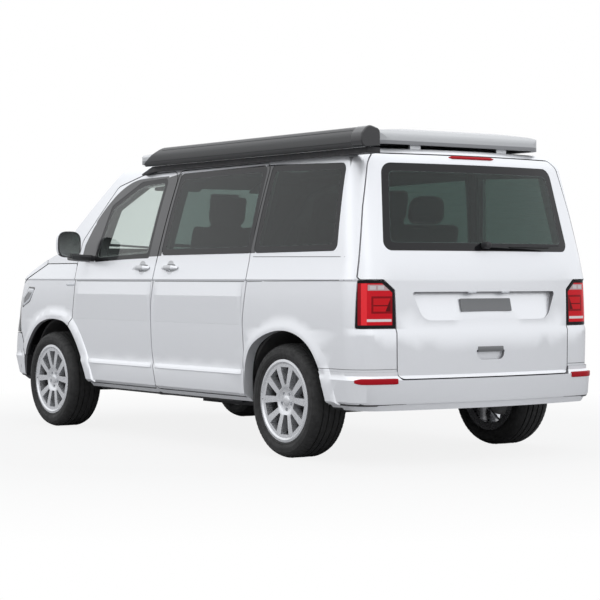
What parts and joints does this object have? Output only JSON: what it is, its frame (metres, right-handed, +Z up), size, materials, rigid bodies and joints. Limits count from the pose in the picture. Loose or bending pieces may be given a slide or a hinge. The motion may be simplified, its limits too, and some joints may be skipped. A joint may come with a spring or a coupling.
{
  "type": "camper van",
  "caption": "Camper van with hollow cabin, hinged doors, lifting tailgate, bonnet and pop-up roof, steered front wheels, side awning case and fitted interior.",
  "frame": {"origin": "on the ground, at the middle of the vehicle's length and width", "axes": "+X forwards, +Y to the vehicle's left, +Z up"},
  "size_m": [4.77, 2.297, 1.9899],
  "materials": {
    "body_paint": "satin",
    "dark_trim": "matte",
    "underbody": "matte",
    "alloy": "satin",
    "steel": "satin",
    "iron": "matte",
    "tyre_rubber": "matte",
    "tinted_glass": "gloss",
    "red_lens": "gloss",
    "clear_lens": "gloss",
    "awning_paint": "satin",
    "roof_shell": "satin",
    "bellows_cloth": "matte",
    "upholstery": "matte",
    "cabinet_board": "satin",
    "dark_plastic": "matte"
  },
  "bodies": {
    "shell": {"body_side_left": "body_paint", "body_side_right": "body_paint", "wing_left": "body_paint", "wing_right": "body_paint", "front_bumper": "body_paint", "rear_bumper": "body_paint", "sliding_door_left": "body_paint", "roof_frame": "body_paint", "grille": "dark_trim", "cowl_panel": "dark_trim", "floor_pan": "underbody", "front_frame": "underbody", "front_axle_frame": "underbody", "rear_axle_frame": "underbody", "exhaust": "steel", "engine_block": "iron", "windscreen": "tinted_glass", "sliding_door_glass": "tinted_glass", "side_window_right": "tinted_glass", "quarter_windows": "tinted_glass", "tail_lamps": "red_lens", "headlamps": "clear_lens", "awning_case": "awning_paint", "awning_rail": "awning_paint", "roof_bellows": "bellows_cloth", "driver_seat": "upholstery", "passenger_seat": "upholstery", "rear_bench": "upholstery", "kitchen_cabinet": "cabinet_board", "dashboard": "dark_plastic", "steering_wheel": "dark_plastic", "water_tank": "dark_plastic"},
    "door_left": {"front_door_left": "body_paint", "front_door_glass_left": "tinted_glass", "door_mirror_left": "dark_trim"},
    "door_right": {"front_door_right": "body_paint", "front_door_glass_right": "tinted_glass", "door_mirror_right": "dark_trim"},
    "rear_gate": {"tailgate": "body_paint", "tailgate_glass": "tinted_glass", "rear_wiper": "dark_trim"},
    "hood": {"bonnet": "body_paint"},
    "raised_roof": {"popup_roof": "roof_shell"},
    "upright_left": {"knuckle_left": "iron"},
    "upright_right": {"knuckle_right": "iron"},
    "wheel_set_front_left": {"wheel_front_left": "alloy", "tyre_front_left": "tyre_rubber", "brake_disc_front_left": "steel"},
    "wheel_set_front_right": {"wheel_front_right": "alloy", "tyre_front_right": "tyre_rubber", "brake_disc_front_right": "steel"},
    "wheel_set_rear_left": {"wheel_rear_left": "alloy", "tyre_rear_left": "tyre_rubber", "brake_disc_rear_left": "steel"},
    "wheel_set_rear_right": {"wheel_rear_right": "alloy", "tyre_rear_right": "tyre_rubber", "brake_disc_rear_right": "steel"}
  },
  "joints": [
    {"name": "steer_left", "type": "hinge", "parent": "shell", "child": "upright_left", "pos_m": [1.477, 0.752, 0.347], "axis": [0, 0, 1], "range_deg": [-35, 35]},
    {"name": "steer_right", "type": "hinge", "parent": "shell", "child": "upright_right", "pos_m": [1.477, -0.752, 0.347], "axis": [0, 0, 1], "range_deg": [-35, 35]},
    {"name": "wheel_front_left_spin", "type": "hinge", "parent": "upright_left", "child": "wheel_set_front_left", "pos_m": [1.477, 0.814, 0.347], "axis": [0, 1, 0], "continuous": true},
    {"name": "wheel_front_right_spin", "type": "hinge", "parent": "upright_right", "child": "wheel_set_front_right", "pos_m": [1.477, -0.814, 0.347], "axis": [0, 1, 0], "continuous": true},
    {"name": "wheel_rear_left_spin", "type": "hinge", "parent": "shell", "child": "wheel_set_rear_left", "pos_m": [-1.523, 0.814, 0.347], "axis": [0, 1, 0], "continuous": true},
    {"name": "wheel_rear_right_spin", "type": "hinge", "parent": "shell", "child": "wheel_set_rear_right", "pos_m": [-1.523, -0.814, 0.347], "axis": [0, 1, 0], "continuous": true},
    {"name": "door_left_swing", "type": "hinge", "parent": "shell", "child": "door_left", "pos_m": [1.215, 0.968, 0.9], "axis": [0, 0, -1], "range_deg": [0, 65]},
    {"name": "door_right_swing", "type": "hinge", "parent": "shell", "child": "door_right", "pos_m": [1.215, -0.968, 0.9], "axis": [0, 0, 1], "range_deg": [0, 65]},
    {"name": "tailgate_lift", "type": "hinge", "parent": "shell", "child": "rear_gate", "pos_m": [-2.182, 0, 1.834], "axis": [0, 1, 0], "range_deg": [0, 80]},
    {"name": "bonnet_lift", "type": "hinge", "parent": "shell", "child": "hood", "pos_m": [1.59, 0, 1.275], "axis": [0, -1, 0], "range_deg": [0, 55]},
    {"name": "roof_lift", "type": "hinge", "parent": "shell", "child": "raised_roof", "pos_m": [-2.055, 0, 1.89], "axis": [0, -1, 0], "range_deg": [0, 20], "deforming": ["roof_bellows"]}
  ],
  "couplings": [
    {"joint": "steer_right", "follows": "steer_left", "ratio": 1}
  ]
}
